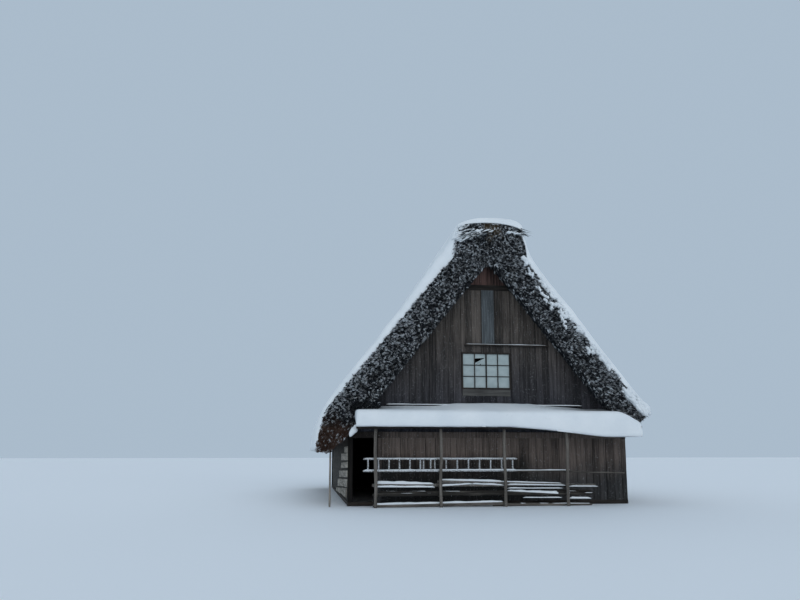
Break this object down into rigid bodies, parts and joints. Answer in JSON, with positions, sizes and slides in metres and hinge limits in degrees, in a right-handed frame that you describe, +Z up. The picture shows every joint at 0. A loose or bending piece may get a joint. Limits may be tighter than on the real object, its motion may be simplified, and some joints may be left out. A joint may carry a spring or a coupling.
{
  "type": "minka farmhouse",
  "caption": "Gable-front timber farmhouse with a steep thick thatched roof under snow, a snowy pent roof and stored poles and ladders across the front.",
  "frame": {"origin": "on the ground, below the centre of the whole house's bounding box, snow included", "axes": "+X to the right when facing the gable front, +Y away from the viewer along the ridge, +Z up"},
  "size_m": [9.95, 12.53, 8.45],
  "materials": {
    "timber": "rough, weathered dark frame timber",
    "wall_boards": "rough sawn, weathered brown boards",
    "side_boards": "rough sawn, bleached wide boards",
    "peak_boards": "rough reddish brown boards",
    "grey_board": "weathered blue-grey board",
    "pole_wood": "bare weathered poles",
    "thatch": "old reed thatch, dark and shaggy",
    "ridge_thatch": "old reed thatch, browner on the ridge",
    "window_paper": "pale translucent window paper in a weathered frame",
    "snow": "settled snow, soft and matt"
  },
  "bodies": {
    "root": {"sill_front": "timber", "sill_back": "timber", "sill_left": "timber", "sill_right": "timber", "corner_post_front_left": "timber", "corner_post_front_right": "timber", "corner_post_back_left": "timber", "corner_post_back_right": "timber", "girt_front": "timber", "girt_back": "timber", "wall_plate_left": "timber", "wall_plate_right": "timber", "door_post": "timber", "loft_floor": "timber", "gable_collar_front": "timber", "gable_collar_back": "timber", "gable_ledge": "timber", "pent_roof_deck": "timber", "pent_roof_beam": "timber", "left_eave_log": "timber", "front_wall": "wall_boards", "back_wall": "wall_boards", "right_wall": "wall_boards", "gable_wall_front": "wall_boards", "gable_wall_back": "wall_boards", "left_wall": "side_boards", "gable_peak_front": "peak_boards", "gable_peak_back": "peak_boards", "gable_centre_board": "grey_board", "rack_post_1": "pole_wood", "rack_post_2": "pole_wood", "rack_post_3": "pole_wood", "rack_post_4": "pole_wood", "left_eave_post": "pole_wood", "ladder_left": "pole_wood", "ladder_right": "pole_wood", "rail_pole": "pole_wood", "poles_upper": "pole_wood", "poles_middle": "pole_wood", "poles_ground": "pole_wood", "thatch_left": "thatch", "thatch_right": "thatch", "ridge_thatch_lower": "ridge_thatch", "ridge_thatch_upper": "ridge_thatch", "window_front": "window_paper", "window_back": "window_paper", "snow_left_slope": "snow", "snow_right_slope": "snow", "snow_ridge": "snow", "snow_pent_roof": "snow"}
  },
  "joints": []
}
